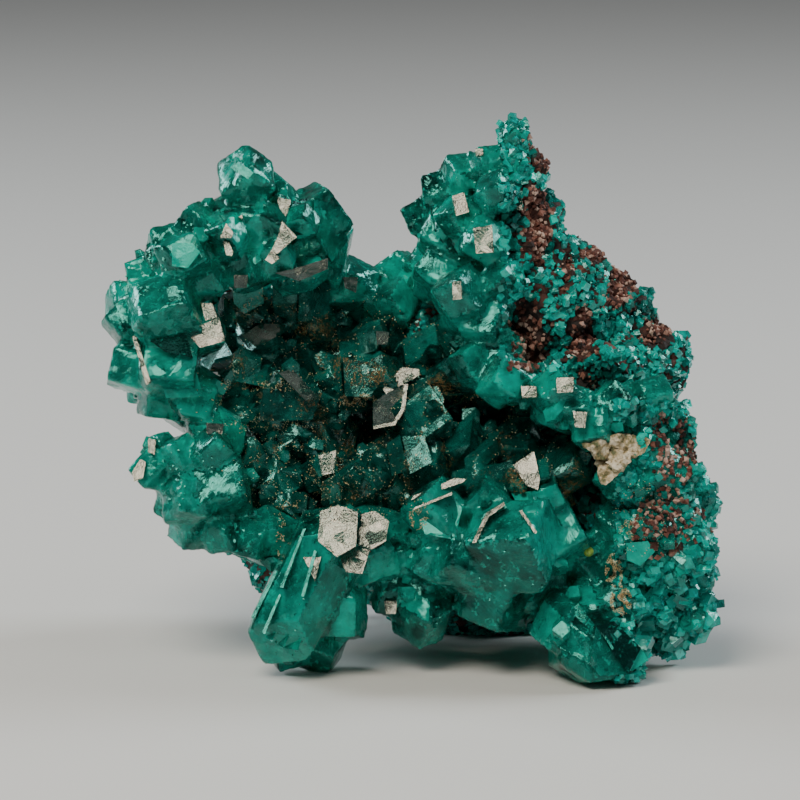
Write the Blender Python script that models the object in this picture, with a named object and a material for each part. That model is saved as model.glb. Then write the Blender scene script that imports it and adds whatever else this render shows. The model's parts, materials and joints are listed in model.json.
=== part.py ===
"""A dioptase specimen: green crystals grown round a hollow, on a lump of brown rock.

All sizes are in millimetres and are scaled to metres at the end. The specimen stands on Z = 0,
its front faces -Y and +X is to the viewer's right. Places are written as a viewer in front sees
them: how far right of the middle, how far up from the ground under the middle, and how deep.
"""

import math
import random
from collections import namedtuple

import bmesh
import bpy
import numpy as np
from mathutils import Matrix, Vector, noise

MM = 0.001

# The viewer looks at the point on the middle axis at VIEW_HEIGHT, from a little above the level.
VIEW_ELEVATION = math.radians(10.0)
VIEW_DISTANCE = 350.0
VIEW_RIGHT = -0.9
VIEW_HEIGHT = 20.4

# What brings the middle of the whole specimen over the origin.
TO_ORIGIN = Vector((0.0, -0.4, 0.0))

# Dioptase: the normals of its end faces lean this far from the long axis.
END_FACE_LEAN = math.radians(51.0)
ROUGHNESS = 0.16
SEAT_GAP = 0.3
GROUND_DEPTH = 30.0
GROUND_WIDTH = 120.0

Crystal = namedtuple("Crystal", "middle radius half axis turn")
Lump = namedtuple("Lump", "middle size detail")


def seen_at(right, up, depth):
    """The point at this depth that a viewer in front sees this far right and up."""
    sine = math.sin(VIEW_ELEVATION)
    cosine = math.cos(VIEW_ELEVATION)
    across = right - VIEW_RIGHT
    above = up - VIEW_HEIGHT * cosine
    beyond = (depth - above * sine) / (cosine + above * sine / VIEW_DISTANCE)
    spread = 1.0 + beyond / VIEW_DISTANCE
    x = VIEW_RIGHT + across * spread
    z = VIEW_HEIGHT + above * spread * cosine - beyond * sine
    return Vector((x, depth, z)) + TO_ORIGIN


def crystal(right, up, depth, radius, half, axis, turn=0.0):
    return Crystal(seen_at(right, up, depth), radius, half, Vector(axis).normalized(), turn)


def lump(right, up, depth, wide, deep, tall, detail=1):
    return Lump(seen_at(right, up, depth), Vector((wide, deep, tall)), detail)


def druse(base, count, radius, toward, spread, seed):
    """Small crystals that stand on the part of a lump that faces toward, within spread degrees."""
    luck = random.Random(seed)
    around = Vector(toward).normalized().to_track_quat("Z", "Y")
    made = []
    for n in range(count):
        lean = math.radians(spread) * math.sqrt((n + 0.5) / count)
        angle = math.radians(137.508 * n + luck.uniform(-20, 20))
        flat = math.sin(lean)
        way = around @ Vector((flat * math.cos(angle), flat * math.sin(angle), math.cos(lean)))
        size = radius * luck.uniform(0.7, 1.25)
        foot = base.middle + Vector(w * s for w, s in zip(way, base.size)) * 0.97
        tilt = Vector([luck.uniform(-0.5, 0.5) for _ in range(3)])
        axis = (way + tilt).normalized()
        made.append(Crystal(foot, size, size * 1.3, axis, luck.uniform(0, 120)))
    return made


def planes_to_solid(normals, distances):
    """The corners and faces of the convex solid that lies behind all these planes."""
    normals = np.array(normals)
    distances = np.array(distances)
    corners = []
    count = len(normals)
    for i in range(count):
        for j in range(i + 1, count):
            for k in range(j + 1, count):
                system = normals[[i, j, k]]
                if abs(np.linalg.det(system)) < 1e-6:
                    continue
                point = np.linalg.solve(system, distances[[i, j, k]])
                inside = (normals @ point <= distances + 1e-7).all()
                if inside and not any(np.abs(point - c).max() < 1e-5 for c in corners):
                    corners.append(point)
    corners = np.array(corners)
    faces = []
    for normal, distance in zip(normals, distances):
        on_face = np.nonzero(np.abs(corners @ normal - distance) < 1e-5)[0]
        if len(on_face) < 3:
            continue
        middle = corners[on_face].mean(axis=0)
        first = corners[on_face[0]] - middle
        first /= np.linalg.norm(first)
        second = np.cross(normal, first)
        spokes = corners[on_face] - middle
        turns = np.arctan2(spokes @ second, spokes @ first)
        faces.append([int(on_face[n]) for n in np.argsort(turns)])
    return corners, faces


def crystal_solid(spec, grow=0.0):
    """A six-sided prism with three sloping faces on each end, a little unevenly grown."""
    luck = random.Random("{:.2f} {:.2f} {:.2f}".format(*spec.middle))
    normals = []
    distances = []
    for side in range(6):
        angle = math.radians(30 + 60 * side)
        normals.append((math.cos(angle), math.sin(angle), 0.0))
        distances.append(spec.radius * luck.uniform(0.8, 1.0) + grow)
    flat = math.sin(END_FACE_LEAN)
    steep = math.cos(END_FACE_LEAN)
    for end in (1, -1):
        for side in range(3):
            angle = math.radians(120 * side + (0 if end > 0 else 60))
            normals.append((flat * math.cos(angle), flat * math.sin(angle), end * steep))
            distances.append(spec.half * steep * luck.uniform(0.9, 1.08) + grow)
    corners, faces = planes_to_solid(normals, distances)
    turn = Matrix.Rotation(math.radians(spec.turn), 3, "Z")
    place = spec.axis.to_track_quat("Z", "Y").to_matrix() @ turn
    return [place @ Vector(c) + spec.middle for c in corners], faces


def lump_solid(spec, grow=0.0):
    """A rough rounded lump."""
    shape = bmesh.new()
    bmesh.ops.create_icosphere(shape, subdivisions=spec.detail, radius=1.0)
    for vert in shape.verts:
        way = vert.co.normalized()
        rough = 1.0 + ROUGHNESS * noise.noise(way * 2.3 + spec.middle)
        vert.co = Vector(w * (s * rough + grow) for w, s in zip(way, spec.size)) + spec.middle
    corners = [vert.co.copy() for vert in shape.verts]
    faces = [[vert.index for vert in face.verts] for face in shape.faces]
    shape.free()
    return corners, faces


def ground_solid():
    """A slab under the ground, which cuts each foot flat where it stands."""
    half = GROUND_WIDTH / 2
    sides = (-half, half)
    corners = [Vector((x, y, z)) for z in (-GROUND_DEPTH, 0.0) for y in sides for x in sides]
    faces = [[0, 2, 3, 1], [4, 5, 7, 6], [0, 1, 5, 4], [2, 6, 7, 3], [0, 4, 6, 2], [1, 3, 7, 5]]
    return corners, faces


def solid_of(spec, grow=0.0):
    return crystal_solid(spec, grow) if isinstance(spec, Crystal) else lump_solid(spec, grow)


def reach(spec):
    return max(spec.radius, spec.half) if isinstance(spec, Crystal) else max(spec.size)


def touching(specs, others):
    """The solids among others that may meet one of specs."""
    found = []
    for other in others:
        for spec in specs:
            if (spec.middle - other.middle).length < 1.15 * (reach(spec) + reach(other)) + SEAT_GAP:
                found.append(other)
                break
    return found


def helper_object(name, solid, collection):
    mesh = bpy.data.meshes.new(name)
    mesh.from_pydata([c * MM for c in solid[0]], [], solid[1])
    made = bpy.data.objects.new(name, mesh)
    collection.objects.link(made)
    return made


def keep_largest_body(mesh):
    """Removes small pieces that a cut left loose."""
    shape = bmesh.new()
    shape.from_mesh(mesh)
    left = set(shape.verts)
    bodies = []
    while left:
        start = left.pop()
        body = {start}
        front = [start]
        while front:
            for link in front.pop().link_edges:
                for vert in link.verts:
                    if vert in left:
                        left.discard(vert)
                        body.add(vert)
                        front.append(vert)
        bodies.append(body)
    bodies.sort(key=len)
    for body in bodies[:-1]:
        bmesh.ops.delete(shape, geom=list(body), context="VERTS")
    shape.to_mesh(mesh)
    shape.free()


def add_boolean(target, operation, collection):
    modifier = target.modifiers.new(operation.lower(), "BOOLEAN")
    modifier.operation = operation
    modifier.solver = "EXACT"
    modifier.operand_type = "COLLECTION"
    modifier.collection = collection


def fuse(name, specs, seats, material):
    """One closed solid: every spec joined, less the ground and the grown form of each seat."""
    scene = bpy.context.scene.collection
    joined = bpy.data.collections.new("joined")
    cut = bpy.data.collections.new("cut")
    scene.children.link(joined)
    scene.children.link(cut)
    target = helper_object(name, solid_of(specs[0]), scene)
    for spec in specs[1:]:
        helper_object("join", solid_of(spec), joined)
    helper_object("cut", ground_solid(), cut)
    for seat in touching(specs, seats):
        helper_object("cut", solid_of(seat, SEAT_GAP), cut)
    add_boolean(target, "UNION", joined)
    add_boolean(target, "DIFFERENCE", cut)
    bpy.context.view_layer.update()
    graph = bpy.context.evaluated_depsgraph_get()
    mesh = bpy.data.meshes.new_from_object(target.evaluated_get(graph))
    target.modifiers.clear()
    target.data = mesh
    mesh.name = name
    keep_largest_body(mesh)
    mesh.materials.clear()
    mesh.materials.append(material)
    for helper in list(joined.objects) + list(cut.objects):
        bpy.data.objects.remove(helper)
    bpy.data.collections.remove(joined)
    bpy.data.collections.remove(cut)


def make_material(name, colour, roughness):
    material = bpy.data.materials.new(name)
    material.use_nodes = True
    shader = material.node_tree.nodes["Principled BSDF"]
    shader.inputs["Base Color"].default_value = (*colour, 1.0)
    shader.inputs["Roughness"].default_value = roughness
    shader.inputs["Metallic"].default_value = 0.0
    return material


# The brown rock: the ridge on the right with its lumps, the back and the foot behind.
MATRIX = [
    lump(8.6, 37.4, 1.4, 2.2, 2.6, 3.2, 2),
    lump(8.4, 33.0, 2.0, 3.4, 4.0, 4.6, 2),
    lump(11.0, 28.4, 2.4, 4.6, 5.4, 5.4, 2),
    lump(14.4, 26.2, 4.5, 4.8, 5.2, 4.6, 2),
    lump(18.4, 23.0, 4.5, 3.4, 5.0, 3.8, 2),
    lump(13.4, 22.6, 1.8, 6.8, 5.6, 3.8, 2),
    lump(17.6, 10.0, 1.5, 5.4, 7.0, 7.6),
    lump(-4.0, 18.0, 11.0, 14.0, 5.0, 12.0),
    lump(4.0, 8.0, 4.0, 13.0, 7.5, 6.0),
    lump(5.6, 2.2, 9.4, 9.0, 6.4, 5.0),
    lump(-8.0, 9.0, 3.0, 6.0, 6.0, 5.6),
    lump(-12.6, 25.0, 9.4, 6.6, 4.4, 7.0),
    lump(4.5, 24.0, 8.0, 7.0, 5.6, 7.0),
    lump(11.8, 15.6, 4.2, 6.0, 4.2, 6.6),
]

# The curved arm on the left, from the knob at its top down to its narrow end.
ARM = [
    lump(-20.0, 25.6, -0.6, 3.2, 4.2, 5.0),
    lump(-18.0, 30.8, 0.2, 4.2, 4.2, 3.6),
    lump(-13.6, 34.0, 1.0, 4.4, 3.8, 3.2),
    lump(-8.8, 33.0, 3.6, 3.4, 3.8, 4.2),
    lump(-17.6, 20.2, -0.5, 3.0, 3.8, 3.4),
    lump(-15.6, 17.2, -2.6, 3.0, 3.4, 2.8),
    crystal(-13.1, 37.9, -0.4, 2.55, 2.9, (0.15, -0.95, 0.3), 30),
    crystal(-7.9, 34.6, 3.0, 3.1, 3.7, (0.35, -0.5, 0.8), 10),
    crystal(-6.9, 31.8, 4.2, 2.0, 4.0, (0.2, -0.2, 1.0), 35),
    crystal(-10.8, 35.8, 2.2, 1.9, 2.8, (-0.2, 0.1, 1.0), 5),
    crystal(-8.8, 34.4, 0.0, 1.5, 2.6, (0.1, -1.0, 0.25), 15),
    crystal(-11.1, 34.2, -0.6, 1.6, 2.2, (-0.45, -0.8, 0.4), 40),
    crystal(-10.9, 31.4, -0.6, 1.7, 2.6, (0.3, -0.8, 0.5), 0),
    crystal(-9.0, 30.0, 0.6, 1.3, 2.9, (0.9, -0.5, 0.3), 25),
    crystal(-14.6, 33.0, -2.0, 1.8, 2.6, (-0.2, -0.9, 0.6), 10),
    crystal(-16.9, 33.9, -1.2, 1.9, 2.4, (-0.5, -0.5, 0.9), 50),
    crystal(-19.4, 32.2, -0.8, 1.9, 2.4, (-0.7, -0.3, 0.8), 15),
    crystal(-21.2, 30.0, -0.6, 1.9, 2.4, (-0.9, -0.4, 0.6), 0),
    crystal(-18.2, 31.4, -3.2, 1.9, 2.8, (0.75, -0.7, 0.1), 30),
    crystal(-13.2, 30.4, -0.8, 2.0, 2.6, (0.4, -0.9, -0.2), 45),
    crystal(-19.8, 27.0, -3.4, 3.2, 4.0, (0.45, -0.85, 0.3), 12),
    crystal(-22.6, 26.4, -1.4, 2.0, 2.8, (-0.8, -0.6, 0.3), 20),
    crystal(-19.3, 22.8, -3.4, 3.0, 3.6, (0.55, -0.8, -0.15), 0),
    crystal(-22.2, 22.6, -2.0, 2.2, 2.8, (-0.7, -0.7, -0.2), 35),
    crystal(-16.6, 25.6, -1.6, 1.9, 2.8, (0.35, -0.8, 0.5), 8),
    crystal(-20.2, 20.2, -2.2, 2.1, 2.6, (-0.4, -0.8, -0.5), 25),
    crystal(-17.4, 20.0, -2.8, 2.1, 2.8, (0.5, -0.8, -0.4), 0),
    crystal(-22.2, 27.6, 2.6, 2.4, 3.2, (-0.9, 0.6, 0.2), 0),
    crystal(-20.6, 21.8, 2.6, 2.4, 3.2, (-0.8, 0.7, -0.3), 20),
    crystal(-17.4, 32.2, 3.6, 2.6, 3.2, (-0.5, 0.8, 0.6), 40),
    crystal(-12.2, 34.8, 4.0, 2.4, 3.2, (-0.2, 0.8, 0.7), 10),
]

# The ball of crystals under the arm.
BALL = [
    lump(-16.4, 12.8, -4.4, 4.0, 4.2, 3.6),
    crystal(-20.3, 14.6, -5.6, 1.8, 2.7, (-0.85, -0.5, 0.15), 10),
    crystal(-19.7, 16.2, -4.6, 1.1, 2.0, (-0.4, -0.6, 0.7), 0),
    crystal(-15.2, 13.0, -6.4, 2.8, 3.2, (0.6, -0.8, 0.05), 15),
    crystal(-17.8, 12.0, -7.4, 2.4, 2.8, (-0.1, -1.0, -0.1), 40),
    crystal(-18.4, 15.4, -6.0, 1.9, 2.6, (-0.3, -0.8, 0.6), 5),
    crystal(-16.0, 15.8, -6.4, 1.9, 2.6, (0.2, -0.8, 0.7), 30),
    crystal(-17.6, 9.9, -6.0, 1.9, 2.3, (-0.3, -0.7, -0.7), 0),
    crystal(-15.2, 9.8, -6.0, 1.9, 2.5, (0.3, -0.8, -0.6), 50),
    crystal(-19.1, 12.0, -5.0, 1.8, 2.2, (-0.9, -0.4, -0.4), 0),
    crystal(-13.0, 9.2, -3.6, 1.8, 2.6, (0.2, -0.5, -0.8), 10),
    crystal(-18.6, 13.4, -1.0, 2.2, 2.8, (-0.8, 0.6, 0.1), 10),
    crystal(-16.0, 10.2, -1.2, 2.2, 2.8, (-0.4, 0.6, -0.7), 30),
]

# The long ribbed crystal that the specimen stands on at the left, and what grew beside it.
LEFT_FOOT = [
    lump(-7.6, 5.8, -8.2, 3.6, 3.8, 3.8),
    crystal(-8.4, 5.3, -9.8, 3.0, 7.0, (-0.45, -0.12, -0.88), 8),
    crystal(-9.5, 4.4, -9.4, 2.4, 5.8, (-0.45, -0.12, -0.88), 8),
    crystal(-7.2, 6.2, -9.4, 2.8, 6.0, (-0.45, -0.12, -0.88), 8),
    crystal(-5.0, 8.8, -9.0, 2.7, 3.4, (0.2, -0.5, 0.85), 20),
    crystal(-3.6, 7.6, -8.6, 2.4, 3.2, (0.7, -0.5, 0.4), 0),
    crystal(-6.0, 3.6, -8.8, 2.8, 3.6, (0.4, -0.6, -0.6), 35),
    crystal(-9.6, 0.9, -7.8, 2.2, 2.8, (-0.3, -0.4, -0.9), 15),
    crystal(-7.4, 0.5, -7.2, 2.2, 2.8, (0.2, -0.3, -0.9), 40),
    crystal(-5.4, 2.6, -6.6, 1.8, 2.4, (0.7, 0.0, -0.7), 0),
    lump(-4.0, 9.4, -6.0, 4.6, 3.0, 2.8),
    lump(-11.6, 9.2, -5.6, 3.2, 3.2, 2.6),
    crystal(-12.6, 9.0, -6.8, 1.9, 2.6, (0.1, -0.8, -0.5), 12),
    lump(-1.4, 7.4, -7.2, 3.0, 2.6, 2.4),
]

# The blocky crystals at the lower front, and the rounded ones that hang under them.
FRONT = [
    lump(6.4, 7.4, -7.4, 5.2, 4.6, 4.4),
    crystal(2.0, 11.2, -8.6, 2.7, 3.4, (-0.35, -0.75, 0.5), 15),
    crystal(8.2, 8.6, -10.6, 4.0, 4.6, (0.15, -0.95, 0.25), 0),
    crystal(4.2, 7.4, -9.8, 2.7, 3.4, (-0.3, -0.9, 0.1), 35),
    crystal(6.8, 4.4, -8.8, 3.4, 3.6, (0.0, -0.7, -0.6), 10),
    crystal(11.6, 9.0, -8.0, 2.8, 3.6, (0.7, -0.7, 0.2), 25),
    crystal(10.6, 12.0, -8.6, 1.7, 2.6, (0.4, -0.6, 0.7), 0),
    crystal(6.2, 11.6, -8.4, 2.2, 2.8, (-0.1, -0.6, 0.8), 40),
    crystal(2.0, 7.2, -8.6, 2.0, 2.8, (-0.7, -0.7, -0.1), 5),
    crystal(10.2, 5.0, -7.4, 2.4, 3.0, (0.7, -0.5, -0.4), 20),
    crystal(14.4, 7.2, -6.4, 2.5, 3.2, (-0.4, -0.85, 0.3), 14),
    lump(0.8, 5.0, -6.2, 2.8, 3.4, 2.8),
    crystal(0.9, 3.2, -7.6, 2.6, 3.3, (-0.1, -0.5, -0.85), 10),
    crystal(-1.2, 4.6, -7.4, 1.8, 2.6, (-0.6, -0.5, -0.5), 0),
]

# The glassy crystal that the specimen stands on at the right.
RIGHT_FOOT = [
    lump(14.0, 2.8, -8.4, 3.4, 3.4, 3.2),
    crystal(14.4, 0.5, -11.0, 3.2, 4.4, (0.72, -0.45, -0.4), 22),
    crystal(16.2, -0.5, -11.2, 2.1, 3.2, (0.72, -0.45, -0.4), 22),
    crystal(12.4, 2.2, -10.2, 2.5, 3.3, (-0.4, -0.7, -0.5), 0),
    crystal(16.4, 3.4, -9.0, 2.2, 3.0, (0.7, -0.5, 0.3), 40),
]

# The rounded mass on the right, crusted with small crystals.
FLANK_LUMPS = [
    lump(19.6, 8.8, -4.6, 4.4, 5.4, 5.4, 2),
    lump(20.0, 3.6, -4.6, 3.2, 4.4, 2.8, 2),
    lump(18.8, 14.2, -4.2, 4.0, 4.4, 3.6, 2),
]
FLANK = (
    FLANK_LUMPS
    + druse(FLANK_LUMPS[0], 11, 1.45, (0.35, -1.0, 0.1), 88, 1)
    + druse(FLANK_LUMPS[1], 5, 1.4, (0.5, -1.0, -0.2), 85, 2)
    + druse(FLANK_LUMPS[2], 6, 1.4, (0.5, -1.0, 0.2), 85, 3)
    + [crystal(16.4, 13.8, -8.0, 2.3, 1.9, (-0.25, -0.95, 0.2), 10)]
)

# The ledge of crystals that hangs over the right side of the hollow.
LEDGE = [
    lump(8.0, 21.6, -4.2, 3.6, 3.2, 2.0),
    lump(12.6, 19.4, -5.0, 3.8, 3.4, 2.2),
    lump(17.4, 19.0, -4.4, 3.6, 3.6, 2.6),
    crystal(4.8, 22.8, -4.6, 1.7, 2.4, (-0.3, -0.8, 0.5), 0),
    crystal(7.2, 21.6, -6.0, 2.0, 2.6, (-0.3, -0.9, 0.2), 25),
    crystal(11.4, 20.6, -6.8, 1.9, 2.8, (0.2, -0.8, 0.6), 35),
    crystal(13.2, 19.4, -7.2, 1.7, 2.4, (0.3, -0.9, 0.2), 0),
    crystal(14.6, 18.0, -7.4, 2.0, 2.6, (0.2, -0.9, -0.1), 20),
    crystal(16.4, 19.8, -6.8, 1.9, 2.6, (0.5, -0.8, 0.3), 45),
    crystal(19.0, 20.2, -5.6, 2.0, 2.8, (0.7, -0.6, 0.3), 5),
    crystal(20.4, 18.2, -4.2, 1.7, 2.4, (0.9, -0.4, 0.0), 0),
]

# The crystals on the left side of the ridge and on its pointed top.
RIDGE = [
    lump(4.6, 33.6, 0.8, 3.4, 3.2, 3.6),
    lump(5.0, 27.6, -1.4, 3.2, 3.6, 3.8),
    lump(6.2, 23.6, -2.6, 3.0, 3.0, 2.8),
    lump(8.4, 38.8, -0.4, 1.5, 1.6, 2.2),
    crystal(8.3, 40.6, -0.2, 1.25, 2.4, (-0.1, -0.2, 1.0), 0),
    crystal(6.4, 38.8, 0.0, 1.6, 2.2, (-0.5, -0.3, 0.8), 20),
    crystal(4.2, 37.8, 1.0, 1.8, 2.4, (-0.6, -0.2, 0.8), 45),
    crystal(2.6, 36.4, 2.0, 1.9, 2.6, (-0.8, -0.1, 0.6), 10),
    crystal(1.4, 34.8, 2.4, 2.0, 2.6, (-0.9, -0.3, 0.3), 0),
    crystal(2.6, 33.0, 1.4, 2.2, 2.6, (-0.7, -0.7, 0.1), 30),
    crystal(3.8, 34.8, -1.2, 1.7, 2.6, (-0.3, -0.9, 0.3), 5),
    crystal(6.6, 36.6, -2.4, 1.7, 2.6, (0.1, -0.9, 0.5), 15),
    crystal(5.8, 32.8, -2.6, 2.0, 2.8, (-0.2, -0.9, 0.3), 35),
    crystal(2.4, 30.4, 1.2, 2.2, 2.8, (-0.8, -0.5, 0.2), 25),
    crystal(4.0, 28.4, -3.4, 2.3, 3.6, (-0.1, -0.85, 0.55), 10),
    crystal(5.8, 26.0, -3.4, 2.4, 2.8, (0.2, -0.95, -0.1), 0),
    crystal(7.4, 29.6, -3.6, 1.8, 2.4, (0.2, -0.9, 0.4), 40),
]

# The crystals behind the notch between arm and ridge.
SADDLE = [
    lump(-1.0, 28.0, 9.0, 3.8, 3.8, 3.4),
    lump(-5.4, 29.4, 6.8, 3.4, 3.0, 2.6),
    lump(2.6, 29.6, 4.4, 3.0, 4.2, 2.8),
    crystal(-3.6, 27.8, 8.6, 2.2, 3.0, (-0.6, -0.4, 0.7), 0),
    crystal(-0.8, 29.6, 8.8, 2.3, 3.0, (-0.1, -0.3, 0.95), 20),
    crystal(1.6, 30.2, 8.0, 2.2, 3.2, (0.4, -0.3, 0.85), 40),
    crystal(-1.4, 27.6, 6.4, 2.3, 3.0, (-0.1, -0.9, 0.4), 10),
    crystal(-0.6, 28.6, 11.4, 2.6, 3.4, (0.1, 0.8, 0.6), 15),
]

# The dark crystals that line the hollow.
HOLLOW = [
    lump(-9.6, 24.0, 5.6, 5.6, 2.6, 5.4),
    lump(-3.0, 21.4, 5.4, 5.6, 2.8, 6.0),
    lump(3.0, 19.6, 2.6, 5.0, 2.8, 5.4),
    lump(-8.6, 16.4, 1.4, 5.4, 3.0, 5.0),
    lump(-2.4, 12.8, -2.0, 5.0, 3.2, 4.6),
    lump(8.0, 14.8, -1.6, 5.0, 3.0, 4.0),
    lump(-11.0, 11.4, -1.8, 3.2, 2.8, 3.4),
    crystal(-8.5, 26.6, 5.2, 2.9, 3.8, (0.1, -0.9, 0.4), 0),
    crystal(-13.0, 27.4, 3.0, 1.8, 2.8, (-0.1, -0.9, 0.3), 15),
    crystal(-11.8, 24.4, 4.0, 2.2, 3.2, (0.3, -0.8, 0.5), 30),
    crystal(-10.6, 19.4, 0.8, 3.4, 4.4, (0.35, -0.6, 0.7), 20),
    crystal(-14.6, 21.6, 1.2, 1.9, 3.0, (0.3, -0.8, 0.5), 0),
    crystal(-9.6, 17.2, -0.4, 2.4, 3.2, (0.2, -0.9, 0.2), 45),
    crystal(-5.2, 21.4, 2.4, 2.6, 3.6, (-0.3, -0.9, 0.3), 10),
    crystal(-2.8, 21.6, 2.0, 2.2, 3.4, (0.3, -0.9, 0.2), 35),
    crystal(-2.4, 24.6, 5.0, 2.1, 3.0, (-0.2, -0.9, 0.4), 0),
    crystal(1.4, 23.8, 3.0, 2.3, 3.0, (0.2, -0.9, 0.3), 25),
    crystal(0.4, 18.6, -2.0, 2.7, 3.8, (0.75, -0.6, 0.2), 30),
    crystal(3.2, 21.6, -0.4, 2.3, 2.8, (0.0, -0.9, 0.4), 20),
    crystal(-4.9, 12.6, -4.4, 2.4, 3.6, (0.05, -0.55, 0.8), 12),
    crystal(-7.0, 14.0, -2.6, 1.8, 2.6, (-0.3, -0.8, 0.5), 0),
    crystal(-10.4, 14.0, -2.0, 2.1, 2.8, (-0.1, -0.9, 0.4), 40),
    crystal(-13.0, 15.0, -2.0, 1.9, 2.6, (0.2, -0.9, 0.3), 22),
    crystal(-10.6, 9.6, -4.0, 2.1, 2.8, (0.1, -0.9, 0.1), 33),
    crystal(1.2, 14.2, -4.0, 2.5, 3.0, (0.2, -0.9, 0.4), 0),
    crystal(4.4, 16.2, -2.2, 2.2, 2.8, (0.1, -0.9, 0.3), 18),
    crystal(5.6, 13.4, -4.6, 2.0, 2.8, (-0.2, -0.9, 0.4), 42),
    crystal(9.4, 13.0, -7.0, 2.3, 3.6, (0.4, -0.85, 0.35), 6),
    crystal(8.8, 17.0, -2.2, 2.0, 2.6, (0.0, -1.0, 0.1), 0),
    crystal(12.4, 14.6, -3.8, 2.2, 2.8, (0.1, -0.9, 0.2), 28),
    crystal(-2.2, 15.0, -2.6, 1.9, 2.6, (-0.1, -0.8, 0.5), 0),
]


def main():
    for old in list(bpy.data.objects):
        bpy.data.objects.remove(old)
    brown = make_material("matrix", (0.17, 0.075, 0.05), 0.85)
    green = make_material("dioptase", (0.0, 0.30, 0.21), 0.15)
    dark = make_material("dark_dioptase", (0.0, 0.10, 0.075), 0.2)
    outer = ARM + BALL + LEFT_FOOT + FRONT + RIGHT_FOOT + FLANK + LEDGE + RIDGE + SADDLE
    fuse("matrix", MATRIX, [], brown)
    fuse("crystals", outer, MATRIX, green)
    fuse("cavity_crust", HOLLOW, MATRIX + outer, dark)


main()
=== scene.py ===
"""The looks of a dioptase specimen: clear green crystals, dusty hollow, granular rock, soft studio."""

import json
import math
import random

import bmesh
import bpy
import numpy as np
from mathutils import Matrix, Vector, noise
from mathutils.bvhtree import BVHTree

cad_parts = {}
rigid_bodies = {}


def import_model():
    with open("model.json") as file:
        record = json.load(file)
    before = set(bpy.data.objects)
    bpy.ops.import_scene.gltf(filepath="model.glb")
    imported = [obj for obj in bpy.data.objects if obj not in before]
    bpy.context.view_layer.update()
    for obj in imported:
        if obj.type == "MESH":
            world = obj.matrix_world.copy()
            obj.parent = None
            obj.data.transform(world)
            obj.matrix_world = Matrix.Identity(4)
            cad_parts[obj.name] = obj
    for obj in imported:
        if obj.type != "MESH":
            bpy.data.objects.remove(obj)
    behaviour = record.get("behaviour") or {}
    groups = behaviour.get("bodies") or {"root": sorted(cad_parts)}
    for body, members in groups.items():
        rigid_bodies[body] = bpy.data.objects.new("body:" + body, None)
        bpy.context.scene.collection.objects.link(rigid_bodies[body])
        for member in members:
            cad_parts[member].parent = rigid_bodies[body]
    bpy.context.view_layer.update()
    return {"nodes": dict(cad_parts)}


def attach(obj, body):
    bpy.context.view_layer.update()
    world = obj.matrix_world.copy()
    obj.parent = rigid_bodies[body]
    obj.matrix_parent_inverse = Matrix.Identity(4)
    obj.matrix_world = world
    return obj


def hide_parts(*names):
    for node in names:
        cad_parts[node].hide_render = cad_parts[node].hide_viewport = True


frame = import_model()
MM = 0.001

# The camera looks at the middle of the specimen from a little above the level.
VIEW_ELEVATION = math.radians(10.0)
VIEW_DISTANCE = 350.0
VIEW_TARGET = Vector((-0.9, -0.4, 20.4))
PICTURE_WIDE_MM = 64.0
PICTURE_PX = 800
PX_PER_MM = PICTURE_PX / PICTURE_WIDE_MM

FORWARD = Vector((0.0, math.cos(VIEW_ELEVATION), -math.sin(VIEW_ELEVATION)))
UPWARD = Vector((0.0, math.sin(VIEW_ELEVATION), math.cos(VIEW_ELEVATION)))
EYE = VIEW_TARGET - FORWARD * VIEW_DISTANCE

# The warm main light, and the way a flat face must look to throw it to the camera.
KEY_WAY = Vector((-0.28, -0.55, 0.79)).normalized()
GLINT = (KEY_WAY - FORWARD).normalized()

# The large dim light above, and the way of the faces that show it as grey.
FILL_WAY = Vector((0.45, -0.45, 0.77)).normalized()
GREY = (FILL_WAY - FORWARD).normalized()

# How far off, in metres, the lamps stand.
LAMP_DISTANCE = 0.5

# How far, in millimetres, a single flat face may stand off the solid under it, and how thick it may be.
MOST_STAND = 0.9
MOST_THICK = 2.2

# Behind these depths the picture tells nothing of the crystals' wear, the coat and the brown patches.
WORN_DEPTH = 2.0
COAT_DEPTH = 6.0
PATCH_DEPTH = 7.0

# Dioptase: the normals of its end faces lean this far from the long axis.
END_FACE_LEAN = math.radians(51.0)


def ray_through(px, py):
    """The way from the eye through a point of the picture."""
    across = (px - PICTURE_PX / 2) / PX_PER_MM
    above = (PICTURE_PX / 2 - py) / PX_PER_MM
    return (VIEW_TARGET + Vector((across, 0, 0)) + UPWARD * above - EYE).normalized()


def picture_place(points):
    """Where points, as rows of an array, are seen in the picture."""
    offset = np.asarray(points) - np.array(EYE)
    scale = VIEW_DISTANCE / (offset @ np.array(FORWARD)) * PX_PER_MM
    across = offset[:, 0] * scale
    above = offset @ np.array(UPWARD) * scale
    return np.stack([PICTURE_PX / 2 + across, PICTURE_PX / 2 - above], 1)


def merged(mesh):
    """A copy of a mesh in millimetres, with each corner only once."""
    shape = bmesh.new()
    shape.from_mesh(mesh)
    bmesh.ops.remove_doubles(shape, verts=shape.verts, dist=1e-7)
    bmesh.ops.scale(shape, vec=(1 / MM,) * 3, verts=shape.verts)
    shape.normal_update()
    return shape


CAD = {name: merged(frame["nodes"][name].data) for name in ("crystals", "cavity_crust", "matrix")}
TREES = {name: BVHTree.FromBMesh(shape) for name, shape in CAD.items()}


def surface_at(px, py):
    """The point of the solids seen at a place of the picture and its normal, or None beside them."""
    way = ray_through(px, py)
    hits = [tree.ray_cast(EYE, way)[:2] for tree in TREES.values()]
    hits = [(point, normal) for point, normal in hits if point is not None]
    return min(hits, key=lambda hit: (hit[0] - EYE).length) if hits else None


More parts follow.
